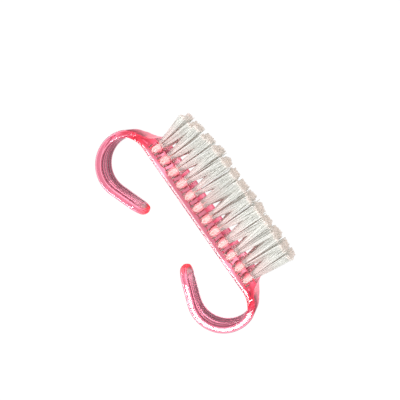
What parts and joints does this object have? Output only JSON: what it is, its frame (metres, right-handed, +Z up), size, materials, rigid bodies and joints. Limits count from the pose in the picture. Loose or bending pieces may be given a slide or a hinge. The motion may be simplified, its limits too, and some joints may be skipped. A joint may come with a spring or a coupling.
{
  "type": "nail brush",
  "caption": "Clear pink plastic nail brush: a straight bar of nylon tufts with a C-shaped finger hook curling under from each end.",
  "frame": {"origin": "middle of the bar's back edge, on the side face that the brush lies on", "axes": "+X along the bar, +Y from the finger hooks towards the bristle tips, +Z up through the bar's width"},
  "size_m": [0.0648, 0.0324, 0.015],
  "materials": {
    "clear_pink_acrylic": "polished transparent pink moulding",
    "nylon_filament": "translucent white nylon monofilament",
    "anchor_wire": "flattened staple wire"
  },
  "bodies": {
    "root": {"handle_body": "clear_pink_acrylic", "tuft_row1_01": "nylon_filament", "tuft_row1_02": "nylon_filament", "tuft_row1_03": "nylon_filament", "tuft_row1_04": "nylon_filament", "tuft_row1_05": "nylon_filament", "tuft_row1_06": "nylon_filament", "tuft_row1_07": "nylon_filament", "tuft_row1_08": "nylon_filament", "tuft_row1_09": "nylon_filament", "tuft_row1_10": "nylon_filament", "tuft_row1_11": "nylon_filament", "tuft_row1_12": "nylon_filament", "tuft_row2_01": "nylon_filament", "tuft_row2_02": "nylon_filament", "tuft_row2_03": "nylon_filament", "tuft_row2_04": "nylon_filament", "tuft_row2_05": "nylon_filament", "tuft_row2_06": "nylon_filament", "tuft_row2_07": "nylon_filament", "tuft_row2_08": "nylon_filament", "tuft_row2_09": "nylon_filament", "tuft_row2_10": "nylon_filament", "tuft_row2_11": "nylon_filament", "tuft_row2_12": "nylon_filament", "tuft_row3_01": "nylon_filament", "tuft_row3_02": "nylon_filament", "tuft_row3_03": "nylon_filament", "tuft_row3_04": "nylon_filament", "tuft_row3_05": "nylon_filament", "tuft_row3_06": "nylon_filament", "tuft_row3_07": "nylon_filament", "tuft_row3_08": "nylon_filament", "tuft_row3_09": "nylon_filament", "tuft_row3_10": "nylon_filament", "tuft_row3_11": "nylon_filament", "tuft_row3_12": "nylon_filament", "tuft_row4_01": "nylon_filament", "tuft_row4_02": "nylon_filament", "tuft_row4_03": "nylon_filament", "tuft_row4_04": "nylon_filament", "tuft_row4_05": "nylon_filament", "tuft_row4_06": "nylon_filament", "tuft_row4_07": "nylon_filament", "tuft_row4_08": "nylon_filament", "tuft_row4_09": "nylon_filament", "tuft_row4_10": "nylon_filament", "tuft_row4_11": "nylon_filament", "tuft_row4_12": "nylon_filament"}
  },
  "joints": []
}
